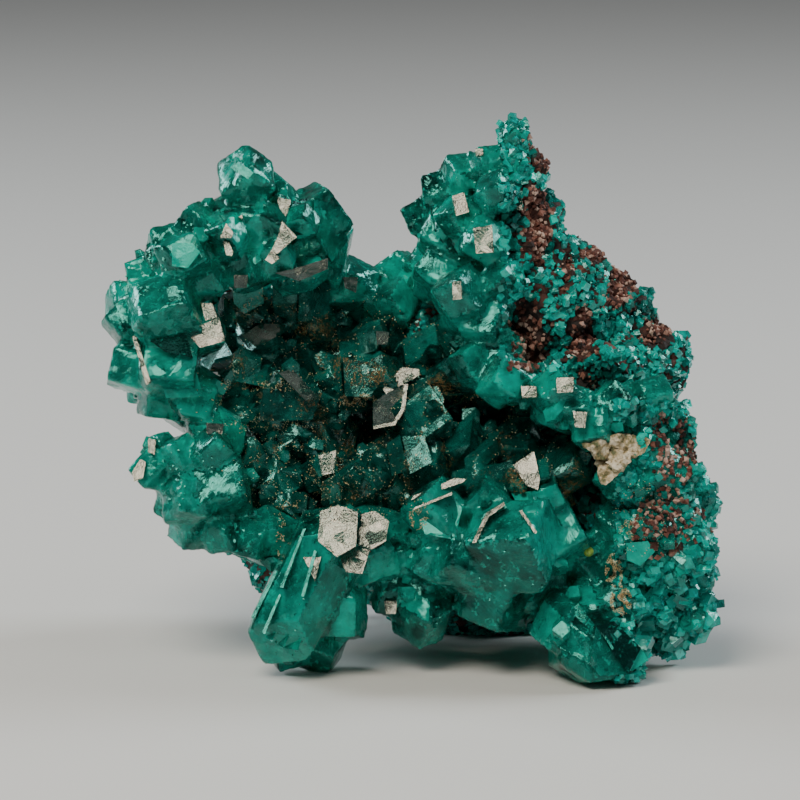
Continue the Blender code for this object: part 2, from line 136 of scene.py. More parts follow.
def planes_to_solid(normals, distances):
    """The corners and faces of the convex solid that lies behind all these planes."""
    normals = np.array(normals)
    distances = np.array(distances)
    corners = []
    count = len(normals)
    for i in range(count):
        for j in range(i + 1, count):
            for k in range(j + 1, count):
                system = normals[[i, j, k]]
                if abs(np.linalg.det(system)) < 1e-6:
                    continue
                point = np.linalg.solve(system, distances[[i, j, k]])
                inside = (normals @ point <= distances + 1e-7).all()
                if inside and not any(np.abs(point - c).max() < 1e-5 for c in corners):
                    corners.append(point)
    corners = np.array(corners)
    faces = []
    for normal, distance in zip(normals, distances):
        on_face = np.nonzero(np.abs(corners @ normal - distance) < 1e-5)[0]
        if len(on_face) < 3:
            continue
        middle = corners[on_face].mean(axis=0)
        first = corners[on_face[0]] - middle
        first /= np.linalg.norm(first)
        second = np.cross(normal, first)
        turns = [math.atan2((corners[n] - middle) @ second, (corners[n] - middle) @ first) for n in on_face]
        faces.append([int(on_face[n]) for n in np.argsort(turns)])
    return corners, faces


def end_faces():
    """The normals of the three sloping faces on each end of a dioptase crystal."""
    flat = math.sin(END_FACE_LEAN)
    steep = math.cos(END_FACE_LEAN)
    normals = []
    for end in (1, -1):
        for side in range(3):
            angle = math.radians(120 * side + (0 if end > 0 else 60))
            normals.append((flat * math.cos(angle), flat * math.sin(angle), end * steep))
    return normals


def crystal_form(seed, length):
    """A six-sided prism one unit in radius with three sloping faces on each end, unevenly grown."""
    luck = random.Random(seed)
    angles = [math.radians(30 + 60 * side) for side in range(6)]
    normals = [(math.cos(angle), math.sin(angle), 0.0) for angle in angles]
    distances = [luck.uniform(0.72, 1.0) for _ in normals]
    reach = length * math.cos(END_FACE_LEAN)
    distances += [reach * luck.uniform(0.82, 1.12) for _ in range(6)]
    return planes_to_solid(normals + end_faces(), distances)


def rhomb_form(seed):
    """The small lozenge-sided crystal of a druse, one unit in radius."""
    luck = random.Random(seed)
    return planes_to_solid(end_faces(), [luck.uniform(0.6, 0.9) for _ in range(6)])


FORMS = [crystal_form(seed, 1.15 + 0.11 * seed) for seed in range(10)]
SMALL_FORMS = [rhomb_form(seed) for seed in range(6)]
OCTANT = (-0.577, 0.577)
GRAIN_FORMS = [planes_to_solid([(a, b, c) for a in OCTANT for b in OCTANT for c in OCTANT], [0.6] * 8)]


def placed(name, data):
    """A new object in the scene."""
    made = bpy.data.objects.new(name, data)
    bpy.context.scene.collection.objects.link(made)
    return made


def turned(axis, turn):
    return axis.to_track_quat("Z", "Y").to_matrix() @ Matrix.Rotation(math.radians(turn), 3, "Z")


def add_marks(mesh, tint, along):
    """A number for each face, and for each face corner its place in its own crystal."""
    mark = mesh.attributes.new("tint", "FLOAT", "FACE")
    mark.data.foreach_set("value", np.asarray(tint, np.float32))
    mark = mesh.attributes.new("along", "FLOAT_VECTOR", "CORNER")
    mark.data.foreach_set("vector", np.asarray(along, np.float32).reshape(-1))


def crystal_mesh(form, place, middle, radius, tint):
    corners, faces = form
    mesh = bpy.data.meshes.new("crystal")
    spots = np.array([place @ Vector(c) * radius + middle for c in corners])
    spots[:, 2] -= min(0.0, spots[:, 2].min())
    mesh.from_pydata((spots * MM).tolist(), [], faces)
    loops = [v for face in faces for v in face]
    along = np.array(corners)[loops] * radius + 40 * tint
    add_marks(mesh, [tint] * len(faces), along)
    return mesh


def face_frames(shape, seed):
    """For each face of a CAD solid: a tint that its whole flat shares, and the flat's own frame."""
    luck = np.random.default_rng(seed)
    groups = {}
    for face in shape.faces:
        level = face.normal.dot(face.calc_center_median())
        key = (*(round(60 * n) for n in face.normal), round(8 * level))
        groups.setdefault(key, []).append(face)
    tint = np.zeros(len(shape.faces))
    frames = np.zeros((len(shape.faces), 3, 3))
    for faces in groups.values():
        value = luck.uniform()
        longest = max((e for f in faces for e in f.edges), key=lambda e: e.calc_length())
        first = (longest.verts[1].co - longest.verts[0].co).normalized()
        normal = faces[0].normal
        for face in faces:
            tint[face.index] = value
            frames[face.index] = (normal.cross(first), normal, first)
    return tint, frames


def even_mesh(solid, voxel, share):
    """A CAD solid as one closed mesh of small faces, of which this share is kept."""
    mesh = bpy.data.meshes.new("base")
    CAD[solid].to_mesh(mesh)
    helper = placed("base", mesh)
    remesh = helper.modifiers.new("remesh", "REMESH")
    remesh.mode = "VOXEL"
    remesh.voxel_size = voxel
    fewer = helper.modifiers.new("fewer", "DECIMATE")
    fewer.ratio = share
    bpy.context.view_layer.update()
    graph = bpy.context.evaluated_depsgraph_get()
    fine = bpy.data.meshes.new_from_object(helper.evaluated_get(graph))
    bpy.data.objects.remove(helper)
    return fine


def read_rows(items, key, wide, kind=np.float32):
    """One value of all these vertices, edges or loops of a mesh, in rows of this many numbers."""
    values = np.empty(len(items) * wide, kind)
    items.foreach_get(key, values)
    return values.reshape(-1, wide)


def ellipse_reach(places, x, y, wide, tall):
    """How far from its middle places of the picture lie in an ellipse whose rim is at 1."""
    return np.hypot((places[:, 0] - x) / wide, (places[:, 1] - y) / tall)


def weathered(mesh, passes, rough, scale):
    """Softens a mesh's edges and roughens it, less so in the named places that keep their edges."""
    count = len(mesh.vertices)
    coords = read_rows(mesh.vertices, "co", 3)
    edges = read_rows(mesh.edges, "vertices", 2, np.int32)
    ends = np.concatenate([edges, edges[:, ::-1]])
    linked = np.bincount(ends[:, 0], minlength=count)[:, None]
    places = picture_place(coords)
    soft = np.full(count, 0.3)
    for table, aim in ((ROUND_PLACES, 1.0), (CRISP_PLACES, 0.0)):
        for ellipse in table.values():
            share = np.clip((ellipse_reach(places, *ellipse) - 0.85) / 0.3, 0.0, 1.0)
            soft = share * soft + (1 - share) * aim
    soft = np.where(coords[:, 1] > WORN_DEPTH, 0.6, soft)[:, None]
    for _ in range(passes):
        total = np.stack([np.bincount(ends[:, 0], coords[ends[:, 1], k], count) for k in range(3)], 1)
        coords = coords + 0.6 * soft * (total / linked - coords)
    mesh.vertices.foreach_set("co", coords.reshape(-1))
    mesh.update()
    normals = read_rows(mesh.vertex_normals, "vector", 3)
    height = [noise.fractal(Vector(co) * scale, 0.6, 2.0, 4) for co in coords]
    coords = coords + normals * rough * np.array(height)[:, None] * (0.25 + 0.75 * soft)
    coords[:, 2] = np.maximum(coords[:, 2], 0.0)
    mesh.vertices.foreach_set("co", coords.reshape(-1))
    mesh.update()
    return coords


def rounded_mesh(solid, seed, voxel, share, passes, rough, scale):
    """A CAD solid softened and roughened, with the marks of the flats it came from."""
    tint, frames = face_frames(CAD[solid], seed)
    fine = even_mesh(solid, voxel, share)
    coords = weathered(fine, passes, rough, scale)
    tree = TREES[solid]
    nearest = [tree.find_nearest(face.center)[2] for face in fine.polygons]
    loops = read_rows(fine.loops, "vertex_index", 1, np.int32)[:, 0]
    sides = np.array([face.loop_total for face in fine.polygons])
    per_loop = np.repeat(np.array(nearest), sides)
    along = np.einsum("nij,nj->ni", frames[per_loop], coords[loops])
    add_marks(fine, tint[nearest], along + 40 * tint[per_loop][:, None])
    fine.transform(Matrix.Scale(MM, 4))
    fine.shade_smooth()
    return fine


def base_mesh(solid, seed):
    """A CAD solid as it is, with its flats marked."""
    shape = CAD[solid]
    tint, frames = face_frames(shape, seed)
    mesh = bpy.data.meshes.new("base")
    shape.to_mesh(mesh)
    along = np.array([frames[f.index] @ np.array(loop.vert.co) for f in shape.faces for loop in f.loops])
    add_marks(mesh, tint, along + 40 * np.repeat(tint, 3)[:, None])
    mesh.transform(Matrix.Scale(MM, 4))
    return mesh


def joined(name, base, parts, material):
    """base with every part joined to it in one closed mesh."""
    collection = bpy.data.collections.new("parts")
    bpy.context.scene.collection.children.link(collection)
    for part in parts:
        collection.objects.link(bpy.data.objects.new("part", part))
    target = placed(name, base)
    modifier = target.modifiers.new("join", "BOOLEAN")
    modifier.operation = "UNION"
    modifier.solver = "MANIFOLD"
    modifier.operand_type = "COLLECTION"
    modifier.collection = collection
    bpy.context.view_layer.update()
    graph = bpy.context.evaluated_depsgraph_get()
    evaluated = target.evaluated_get(graph)
    mesh = bpy.data.meshes.new_from_object(evaluated, preserve_all_data_layers=True, depsgraph=graph)
    target.modifiers.clear()
    target.data = mesh
    for helper in list(collection.objects):
        bpy.data.objects.remove(helper)
    bpy.data.collections.remove(collection)
    mesh.name = name
    mesh.set_sharp_from_angle(angle=math.radians(32))
    mesh.materials.clear()
    mesh.materials.append(material)
    return target


def random_points(shape, count, luck):
    """Evenly spread points on a mesh, with the normals there."""
    corners = np.array([[v.co[:] for v in f.verts] for f in shape.faces])
    normals = np.array([f.normal[:] for f in shape.faces])
    area = np.linalg.norm(np.cross(corners[:, 1] - corners[:, 0], corners[:, 2] - corners[:, 0]), axis=1)
    pick = luck.choice(len(area), count, p=area / area.sum())
    a, b = luck.uniform(size=(2, count, 1))
    over = a + b > 1
    a = np.where(over, 1 - a, a)
    b = np.where(over, 1 - b, b)
    chosen = corners[pick]
    points = chosen[:, 0] + a * (chosen[:, 1] - chosen[:, 0]) + b * (chosen[:, 2] - chosen[:, 0])
    return points, normals[pick]


def crevice_points(shape, count, luck, most=-0.3):
    """Points along a mesh's creases with their normals. An inward crease has an angle under 0."""
    edges = [e for e in shape.edges if e.is_manifold and e.calc_face_angle_signed() < most]
    edges = [e for e in edges if abs(e.calc_face_angle_signed()) > 0.3]
    length = np.array([e.calc_length() for e in edges])
    pick = luck.choice(len(edges), count, p=length / length.sum())
    share = luck.uniform(size=count)
    points = []
    normals = []
    for n, s in zip(pick, share):
        edge = edges[n]
        points.append(edge.verts[0].co.lerp(edge.verts[1].co, s))
        normals.append((edge.link_faces[0].normal + edge.link_faces[1].normal).normalized())
    return np.array(points), np.array(normals)


def grown(points, normals, small, large, tilt, luck, clear=0.5):
    """Crystals standing at these points, clear of the rock, in closed meshes of their own."""
    made = []
    for point, normal in zip(points, normals):
        if TREES["matrix"].find_nearest(point, clear)[0] is not None:
            continue
        radius = small * (large / small) ** luck.uniform()
        axis = Vector(normal) + tilt * Vector(luck.uniform(-1, 1, 3))
        form = FORMS[luck.integers(len(FORMS))]
        place = turned(axis.normalized(), luck.uniform(0, 120))
        made.append(crystal_mesh(form, place, Vector(point), radius, float(luck.uniform())))
    return made


def scattered(name, forms, points, normals, sizes, stand, tilt, luck, material):
    """One mesh of many small crystals that stand on a surface, each a closed body."""
    verts = []
    faces = []
    tints = []
    along = []
    start = 0
    for point, normal, size in zip(points, normals, sizes):
        corners, sides = forms[luck.integers(len(forms))]
        axis = Vector(normal) + tilt * Vector(luck.uniform(-1, 1, 3))
        place = np.array(turned(axis.normalized(), luck.uniform(0, 120)))
        own = corners * size * luck.uniform(0.8, 1.2, 3)
        spots = own @ place.T + point + np.array(normal) * size * stand
        spots[:, 2] -= min(0.0, spots[:, 2].min())
        verts.append(spots)
        tint = luck.uniform()
        for side in sides:
            faces.append([start + n for n in side])
            tints.append(tint)
            along.append(own[side] + 40 * tint)
        start += len(corners)
    mesh = bpy.data.meshes.new(name)
    mesh.from_pydata((np.concatenate(verts) * MM).tolist(), [], faces)
    add_marks(mesh, tints, np.concatenate(along))
    mesh.materials.append(material)
    return placed(name, mesh)


def crumbled(shape, cuts, rough, scale, pits):
    """A finer copy of a solid with its surface broken up."""
    made = shape.copy()
    bmesh.ops.subdivide_edges(made, edges=made.edges, cuts=cuts, use_grid_fill=True)
    made.normal_update()
    broad = [rough * noise.fractal(v.co * scale, 0.7, 2.1, 5) for v in made.verts]
    grain = [pits * noise.ridged_multi_fractal(v.co * 1.3, 0.8, 2.2, 3, 1.0, 2.0) for v in made.verts]
    shift = [v.normal * (far + fine - pits) for v, far, fine in zip(made.verts, broad, grain)]
    for vert, move in zip(made.verts, shift):
        vert.co += move
        vert.co.z = max(vert.co.z, 0.0)
    made.normal_update()
    return made


def plate(name, outline, tint, way, lean=1.0, lift=0.2, root=0.6, stand=1.1):
    """A crystal whose flat face shows this outline in the picture, or None beside the solids.

    The face looks along way where lean is 1, and lies as the surface does where lean is 0.
    Where it mostly lies as the surface does, no corner stands off further than stand.
    """
    middle = tuple(sum(p[n] for p in outline) / len(outline) for n in (0, 1))
    between = [tuple(0.5 * (a + b) for a, b in zip(place, middle)) for place in outline]
    seen = []
    for place in list(outline) + between + [middle]:
        hit = surface_at(*place)
        if hit:
            seen.append((ray_through(*place), (hit[0] - EYE).length))
    if len(seen) < 0.8 * (2 * len(outline) + 1):
        return None
    if lean < 1.0:
        spots = np.array([ray * far for ray, far in seen])
        lie = Vector(np.linalg.svd(spots - spots.mean(axis=0))[2][2])
        lie = -lie if lie.dot(FORWARD) > 0 else lie
        way = (lean * way + (1 - lean) * (lie - 0.4 * FORWARD)).normalized()
    levels = sorted((far - lift) * ray.dot(way) for ray, far in seen)
    level = min(levels[-1], levels[len(levels) // 2] + MOST_STAND)
    if lean < 0.5:
        level = min([level] + [(far - stand) * ray.dot(way) for ray, far in seen])
    thick = min(MOST_THICK, root + max(far - level / ray.dot(way) for ray, far in seen))
    rays = [ray_through(*place) for place in outline]
    front = [EYE + ray * (level / ray.dot(way)) for ray in rays]
    centre = sum(front, Vector()) / len(front)
    back = [centre + (v - centre) * 0.85 + FORWARD * thick for v in front]
    count = len(outline)
    corners = front + [Vector((v.x, v.y, max(v.z, 0.0))) for v in back]
    faces = [list(range(count)), list(range(2 * count - 1, count - 1, -1))]
    faces += [[(n + 1) % count, n, n + count, (n + 1) % count + count] for n in range(count)]
    normal = (front[1] - front[0]).cross(front[2] - front[0])
    if normal.dot(way) < 0:
        faces = [face[::-1] for face in faces]
    mesh = bpy.data.meshes.new(name)
    mesh.from_pydata([v * MM for v in corners], [], faces)
    place = turned(way, 0).transposed()
    along = np.array([(place @ corners[v])[:] for face in faces for v in face])
    add_marks(mesh, [tint] * len(faces), along)
    return mesh


# The inputs of RANGES are a value, the range that it comes from and the one that it goes to.
NUMBERS = "ShaderNodeMath"
VECTORS = "ShaderNodeVectorMath"
RANGES = "ShaderNodeMapRange"


def new_material(name):
    material = bpy.data.materials.new(name)
    material.use_nodes = True
    tree = material.node_tree
    return material, tree, tree.nodes["Principled BSDF"]


def feed(tree, socket, value):
    """Links a socket to the output that value is, or else gives it the value."""
    if isinstance(value, bpy.types.NodeSocket):
        tree.links.new(value, socket)
    else:
        socket.default_value = value


def node(tree, kind, *inputs, **values):
    """A new node with these inputs in their order, and these settings and named inputs."""
    made = tree.nodes.new(kind)
    for key, value in values.items():
        if hasattr(made, key):
            setattr(made, key, value)
        else:
            feed(tree, made.inputs[key.replace("_", " ")], value)
    for socket, value in zip(made.inputs, inputs):
        feed(tree, socket, value)
    return made


def ramp(tree, source, stops):
    made = tree.nodes.new("ShaderNodeValToRGB")
    tree.links.new(source, made.inputs["Fac"])
    while len(made.color_ramp.elements) < len(stops):
        made.color_ramp.elements.new(0.5)
    for element, (place, colour) in zip(made.color_ramp.elements, stops):
        element.position = place
        element.color = (*colour, 1.0)
    return made.outputs["Color"]


def blend_colours(tree, share, first, second):
    """The colour first where share is 0, and the plain colour second where it is 1."""
    made = node(tree, "ShaderNodeMix", share, data_type="RGBA")
    feed(tree, made.inputs[6], first)
    feed(tree, made.inputs[7], (*second, 1.0))
    return made.outputs[2]


def own_place(tree):
    return tree.nodes.new("ShaderNodeTexCoord").outputs["Object"]


def noise_of(tree, scale, detail=3.0, roughness=0.6, vector=None):
    where = vector or own_place(tree)
    made = node(tree, "ShaderNodeTexNoise", Vector=where, Scale=scale, Detail=detail, Roughness=roughness)
    return made.outputs["Fac"]


def bumped(tree, height, strength, distance, normal=None):
    """The normal of a surface that this height roughens."""
    made = node(tree, "ShaderNodeBump", Height=height, Strength=strength, Distance=distance)
    if normal:
        tree.links.new(normal, made.inputs["Normal"])
    return made.outputs["Normal"]


def uneven_normal(tree, cell, lean):
    """The surface's normal, leaning its own way in each small cell, as an unevenly grown face does."""
    cells = node(tree, "ShaderNodeTexVoronoi", Vector=own_place(tree), Scale=cell).outputs["Color"]
    shift = node(tree, VECTORS, cells, (2 * lean,) * 3, (-lean,) * 3, operation="MULTIPLY_ADD")
    normal = tree.nodes.new("ShaderNodeNewGeometry").outputs["Normal"]
    total = node(tree, VECTORS, normal, shift.outputs[0], operation="ADD")
    return node(tree, VECTORS, total.outputs[0], operation="NORMALIZE").outputs[0]


def dioptase_material(
    name, bright, dark, absorb, density, transmission, sheen=(0.4, 1.0, 0.9), ribs=0.3, lean=0.12, dust=0.0
):
    """Clear green crystal with growth lines, veils, bright flecks painted as inner glints and, where
    wanted, gold dust.
    """
    material, tree, shader = new_material(name)
    tint = node(tree, "ShaderNodeAttribute", attribute_name="tint").outputs["Fac"]
    along = node(tree, "ShaderNodeAttribute", attribute_name="along").outputs["Vector"]
    veil = noise_of(tree, 420.0, 4.0, 0.65)
    middle = tuple(0.42 * a + 0.58 * b for a, b in zip(bright, dark))
    # The brightest colour is a painted glint: it tops the ramp and colours the bright flecks.
    painted_glint = tuple(min(1.0, 1.25 * c + 0.02) for c in bright)
    stops = [(0.42, dark), (0.66, middle), (0.90, bright), (1.0, painted_glint)]
    # A face's tint moves its colour along the ramp: a random tone on most crystals, painted light or shade
    # on the named flat faces.
    share = node(tree, NUMBERS, tint, 0.3, veil, operation="MULTIPLY_ADD")
    colour = ramp(tree, share.outputs[0], stops)
    # Bright flecks are painted glints that stand in for light thrown back inside the crystal; the dark
    # flecks vary its tone.
    flecks = noise_of(tree, 1500.0, 5.0, 0.7)
    for least, most, fleck in ((0.56, 0.68, painted_glint), (0.40, 0.30, dark)):
        mask = node(tree, RANGES, flecks, least, most, 0.0, 0.75)
        colour = blend_colours(tree, mask.outputs[0], colour, fleck)
    stretch = node(tree, VECTORS, along, (5.5, 5.5, 0.35), operation="MULTIPLY")
    lines = noise_of(tree, 1.0, 3.0, 0.6, stretch.outputs[0])
    pits = noise_of(tree, 2600.0, 2.0, 0.6)
    rough = node(tree, RANGES, veil, 0.35, 0.7, 0.02, 0.16)
    grown_face = bumped(tree, lines, ribs, 0.00014, uneven_normal(tree, 1300.0, lean))
    pitted_face = bumped(tree, pits, 0.4 * ribs, 0.00005, grown_face)
    for socket in ("Normal", "Coat Normal"):
        tree.links.new(pitted_face, shader.inputs[socket])
    if dust:
        grains = noise_of(tree, 5200.0, 2.0, 0.7)
        where = noise_of(tree, 260.0, 3.0, 0.6)
        amount = node(tree, NUMBERS, grains, where, operation="MULTIPLY")
        mask = node(tree, RANGES, amount.outputs[0], dust, dust + 0.03)
        colour = blend_colours(tree, mask.outputs[0], colour, (0.42, 0.25, 0.09))
    tree.links.new(colour, shader.inputs["Base Color"])
    tree.links.new(rough.outputs[0], shader.inputs["Roughness"])
    shader.inputs["IOR"].default_value = 1.67
    shader.inputs["Specular Tint"].default_value = (*sheen, 1.0)
    shader.inputs["Transmission Weight"].default_value = transmission
    volume = node(tree, "ShaderNodeVolumeAbsorption", Density=density, Color=(*absorb, 1.0))
    tree.links.new(volume.outputs[0], tree.nodes["Material Output"].inputs["Volume"])
    return material


def mottled_material(name, pattern, stops, roughness):
    """A material whose colour follows one noise, and the parts of its node tree."""
    material, tree, shader = new_material(name)
    tree.links.new(ramp(tree, noise_of(tree, *pattern), stops), shader.inputs["Base Color"])
    shader.inputs["Roughness"].default_value = roughness
    return material, tree, shader


def dust_material():
    stops = [(0.4, (0.50, 0.30, 0.12)), (0.55, (0.82, 0.64, 0.36)), (0.7, (0.95, 0.88, 0.70))]
    return mottled_material("gold dust", (3000.0, 2.0), stops, 0.35)[0]


def lime_material():
    stops = [(0.35, (0.10, 0.24, 0.02)), (0.65, (0.42, 0.60, 0.10))]
    return mottled_material("lime bead", (2500.0,), stops, 0.3)[0]


def cream_material():
    stops = [(0.38, (0.10, 0.12, 0.05)), (0.47, (0.36, 0.28, 0.15))]
    stops += [(0.55, (0.66, 0.58, 0.42)), (0.7, (0.84, 0.78, 0.64))]
    material, tree, shader = mottled_material("cream crust", (1500.0, 5.0, 0.7), stops, 0.5)
    tree.links.new(bumped(tree, noise_of(tree, 4000.0, 4.0, 0.7), 0.6, 0.0001), shader.inputs["Normal"])
    return material


def rock_material():
    material, tree, shader = new_material("brown rock")
    patches = noise_of(tree, 300.0, 5.0, 0.65)
    tint = node(tree, "ShaderNodeAttribute", attribute_name="tint").outputs["Fac"]
    stops = [(0.45, (0.012, 0.006, 0.005)), (0.60, (0.10, 0.028, 0.018))]
    stops += [(0.74, (0.25, 0.10, 0.07)), (0.88, (0.55, 0.38, 0.31))]
    share = node(tree, NUMBERS, tint, 0.4, patches, operation="MULTIPLY_ADD")
    colour = ramp(tree, share.outputs[0], stops)
    tree.links.new(colour, shader.inputs["Base Color"])
    shader.inputs["Roughness"].default_value = 0.75
    tree.links.new(bumped(tree, noise_of(tree, 900.0, 6.0, 0.7), 0.9, 0.0004), shader.inputs["Normal"])
    return material


# The ways that flat crystal faces look, and each kind's tint, which paints light and shade into its colour:
# a tint over 1 is a painted highlight, brighter than the body, one under 0 painted shade, darker, and those
# between lighter or darker by the way the face looks.
FACE_WAYS = {
    "glint": (GLINT, 0.6),
    "streak": (GLINT, 0.8),
    "grey": (GREY, -0.5),
    "left": (Vector((-0.62, -0.74, 0.26)), 0.5),
    "right": (Vector((0.62, -0.76, 0.18)), 0.35),
    "up": (Vector((0.1, -0.6, 0.8)), 0.9),
    "front": (Vector((-0.2, -0.97, 0.12)), 0.45),
    "bright": (Vector((-0.45, -0.75, 0.45)), 1.5),
}

OUTER_MIRRORS = ("glint",)
HOLLOW_MIRRORS = ("glint", "grey")

# Single flat faces as outlines in the picture, on the crystals outside the hollow and in it.
OUTER_FACES = {
    "glint": {
        "knob": [(276, 197), (291, 200), (286, 217), (280, 209)],
        "arm": [(282, 221), (297, 237), (277, 254), (272, 249), (278, 236)],
        "arm ribbed": [(272, 249), (280, 258), (272, 264), (265, 260)],
        "arm left": [(226, 223), (233, 232), (232, 238), (220, 238)],
        "arm left lower": [(223, 241), (229, 242), (233, 251), (232, 256), (226, 255)],
        "arm small": [(238, 217), (242, 215), (243, 220)],
        "left edge": [(102, 367), (128, 379), (113, 393), (106, 384)],
        "left thin edge": [(132, 336), (136, 336), (151, 383), (146, 385)],
        "ball": [(148, 438), (156, 440), (155, 455), (148, 452)],
        "ball point": [(132, 472), (140, 459), (146, 462), (143, 478), (134, 482)],
        "foot cap": [(320, 511), (338, 505), (358, 512), (356, 546), (337, 557), (318, 541)],
        "foot cap right": [(360, 514), (375, 511), (389, 521), (386, 541), (372, 549), (358, 545)],
        "foot cap low": [(339, 556), (357, 547), (370, 550), (362, 574), (346, 572)],
        "foot side": [(303, 557), (321, 557), (315, 581)],
        "ridge": [(452, 196), (464, 192), (469, 212), (456, 216)],
        "ridge low": [(473, 228), (492, 225), (494, 252), (476, 254)],
        "ridge small": [(452, 282), (461, 281), (462, 299), (453, 300)],
        "ridge top": [(511, 199), (522, 198), (523, 210), (512, 210)],
        "horn": [(475, 149), (483, 148), (483, 155), (476, 156)],
        "ledge": [(521, 386), (536, 386), (537, 397), (522, 398)],
        "ledge right": [(556, 378), (574, 377), (573, 392), (557, 393)],
        "ledge low": [(573, 411), (587, 412), (585, 428), (575, 427)],
        "middle foot": [(384, 601), (397, 601), (396, 614), (386, 614)],
        "front edge": [(411, 500), (413, 496), (455, 478), (466, 479), (464, 482)],
        "front edge inner": [(413, 510), (415, 507), (452, 492), (452, 495)],
        "block rib": [(472, 543), (476, 543), (489, 517), (505, 505), (504, 502), (486, 513)],
        "block rib right": [(519, 511), (522, 510), (537, 532), (535, 534)],
    },
    "grey": {
        "arm six-sided": [(293, 201), (308, 198), (318, 211), (314, 232), (296, 236), (289, 219)],
        "arm big top": [(150, 341), (186, 334), (193, 358), (165, 352)],
        "right foot top": [(596, 626), (614, 621), (641, 648), (628, 674), (612, 652)],
        "low left": [(251, 468), (266, 468), (273, 478), (262, 490), (252, 486)],
    },
    # Painted highlights: the tint of these faces colours them brighter than the body.
    "bright": {
        "block top": [(303, 176), (336, 184), (344, 203), (322, 199)],
        "ridge crystal": [(484, 174), (503, 170), (514, 181), (509, 197), (491, 199)],
        "druse crest": [(511, 493), (532, 491), (545, 503), (519, 507)],
        "flank crystal": [(626, 543), (648, 541), (655, 552), (640, 566), (627, 560)],
        "right foot tip": [(632, 652), (642, 648), (648, 660), (632, 671)],
        "arm wedge": [(172, 243), (192, 243), (200, 252), (188, 268), (172, 266)],
    },
    "streak": {
        "foot edge": [(303, 529), (306, 528), (283, 588), (280, 587)],
        "foot edge low": [(279, 594), (281, 595), (265, 634), (262, 632)],
        "foot second edge": [(314, 550), (317, 551), (304, 597), (301, 596)],
        "foot left edge": [(275, 570), (278, 571), (254, 619), (251, 617)],
        "right foot ridge": [(598, 627), (600, 626), (614, 648), (612, 650)],
        "block edge": [(481, 519), (484, 514), (504, 503), (507, 508)],
        "knob edge": [(230, 168), (238, 162), (254, 172), (248, 179)],
        "arm block edge": [(306, 178), (334, 185), (333, 188), (306, 181)],
    },
    "left": {
        "foot rib": [(298, 530), (306, 524), (262, 634), (251, 628)],
        "foot third rib": [(312, 535), (318, 546), (284, 648), (272, 642)],
        "right foot left": [(545, 640), (578, 603), (594, 624), (590, 664)],
    },
    "right": {
        "arm block side": [(314, 200), (340, 204), (348, 240), (332, 262), (315, 235)],
        "right foot right": [(596, 626), (612, 652), (628, 674), (600, 676), (590, 664)],
    },
    "up": {
        "arm big face": [(152, 343), (193, 359), (203, 396), (166, 398)],
        "front left block": [(415, 510), (452, 495), (462, 508), (455, 540), (425, 534)],
        "foot second rib": [(306, 524), (312, 535), (272, 642), (262, 634)],
        "foot fourth rib": [(318, 546), (325, 562), (298, 650), (284, 648)],
    },
}
HOLLOW_FACES = {
    "glint": {
        "ribbed": [(186, 332), (201, 325), (219, 317), (225, 341), (200, 348)],
        "ribbed top": [(201, 303), (212, 303), (217, 317), (205, 321)],
        "plate top": [(383, 389), (402, 367), (419, 369), (420, 375), (386, 394)],
        "plate strip": [
            (404, 384), (408, 384), (405, 410), (395, 425), (374, 429), (373, 426), (393, 422), (401, 409),
        ],
        "middle ribbed": [(318, 456), (336, 450), (334, 473), (322, 475)],
        "right": [(513, 465), (534, 451), (540, 478), (538, 490), (527, 486)],
    },
    "grey": {
        "plate crystal": [(373, 402), (386, 394), (404, 385), (404, 410), (394, 424), (373, 427)],
        "under arm": [(275, 273), (293, 269), (328, 258), (328, 269), (299, 281)],
        "left square": [(234, 275), (248, 275), (247, 288), (234, 288)],
        "upper slab": [(260, 323), (286, 325), (282, 334), (256, 347), (242, 336)],
        "long slab": [(279, 373), (292, 369), (318, 397), (306, 401)],
        "back": [(343, 277), (358, 277), (356, 293), (345, 288)],
        "low left": [(206, 423), (224, 424), (222, 434), (207, 434)],
        "centre": [(376, 331), (389, 332), (388, 345), (377, 344)],
    },
    "up": {
        "green block": [(232, 284), (262, 285), (264, 303), (244, 314), (234, 303)],
        "hexagon top": [(339, 342), (361, 338), (381, 352), (366, 362), (340, 356)],
        "dark block top": [(220, 378), (262, 364), (305, 368), (322, 392), (270, 388)],
    },
    "left": {
        "hexagon left": [(331, 358), (340, 356), (343, 396), (332, 388)],
        "rounded left": [(328, 470), (336, 456), (342, 500), (330, 504)],
        "plate body": [(410, 386), (422, 378), (435, 380), (444, 399), (438, 424), (411, 430)],
        "column": [(386, 444), (400, 435), (408, 470), (392, 476)],
        "dark block left": [(213, 402), (262, 388), (255, 420), (222, 428)],
    },
    "right": {
        "hexagon right": [(343, 357), (366, 362), (382, 354), (384, 377), (370, 397), (345, 396)],
        "big dark": [(300, 274), (331, 285), (328, 318), (298, 322)],
        "rounded right": [(343, 458), (362, 462), (372, 490), (356, 509), (344, 500)],
        "dark block right": [(264, 388), (322, 393), (312, 420), (258, 421)],
        "centre right": [(402, 436), (424, 436), (433, 462), (410, 474)],
    },
    "front": {
        "ribbed foot": [(200, 349), (226, 343), (240, 368), (212, 392), (202, 376)],
        "big dark left": [(272, 276), (298, 274), (296, 322), (274, 314)],
        "right body": [(480, 470), (511, 460), (525, 488), (500, 497), (482, 490)],
    },
}

# Crystals that time has rounded, and crystals that keep sharp edges: middles and half sizes in the picture.
ROUND_PLACES = {
    "knob": (247, 180, 40, 36),
    "arm rounded crystal": (148, 305, 56, 40),
    "ball": (195, 505, 60, 60),
    "middle foot": (418, 612, 48, 36),
    "block": (512, 565, 52, 62),
}
CRISP_PLACES = {
    "arm block": (320, 222, 40, 52),
    "arm big crystal": (170, 366, 40, 36),
    "ball point": (150, 470, 24, 20),
    "left foot": (305, 585, 66, 78),
    "front left block": (446, 508, 30, 26),
    "right foot": (592, 640, 54, 44),
}

